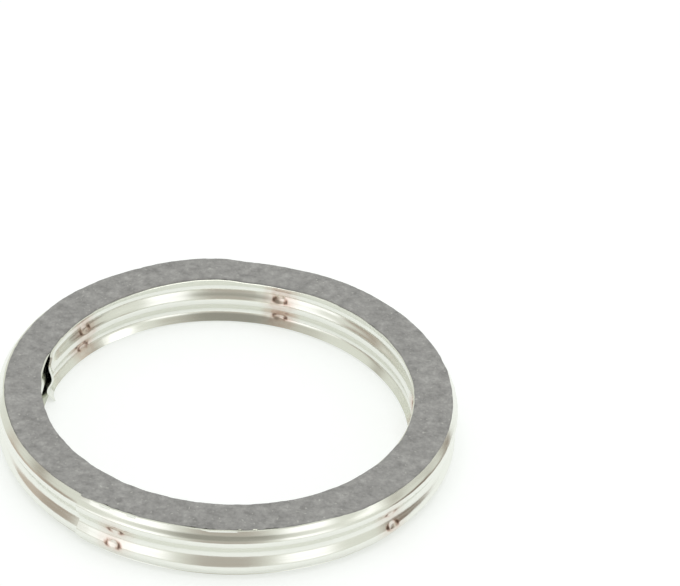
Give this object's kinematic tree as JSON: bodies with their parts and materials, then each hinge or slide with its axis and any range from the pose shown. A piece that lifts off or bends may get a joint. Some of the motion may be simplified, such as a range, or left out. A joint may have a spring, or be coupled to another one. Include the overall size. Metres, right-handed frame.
{
  "type": "exhaust gasket",
  "caption": "Round spiral-wound exhaust gasket: a ribbed stainless strip wound with graphite, spot welded at the bore and outside.",
  "frame": {"origin": "middle of the lower graphite face, on the bore's axis", "axes": "+Z along the bore's axis, from the lower to the upper face; +X to the right and +Y away in the picture's view"},
  "size_m": [0.045, 0.0452, 0.0053],
  "materials": {
    "stainless_strip": "bright rolled",
    "graphite": "matte"
  },
  "bodies": {
    "root": {"winding_strip": "stainless_strip", "graphite_filler": "graphite"}
  },
  "joints": []
}
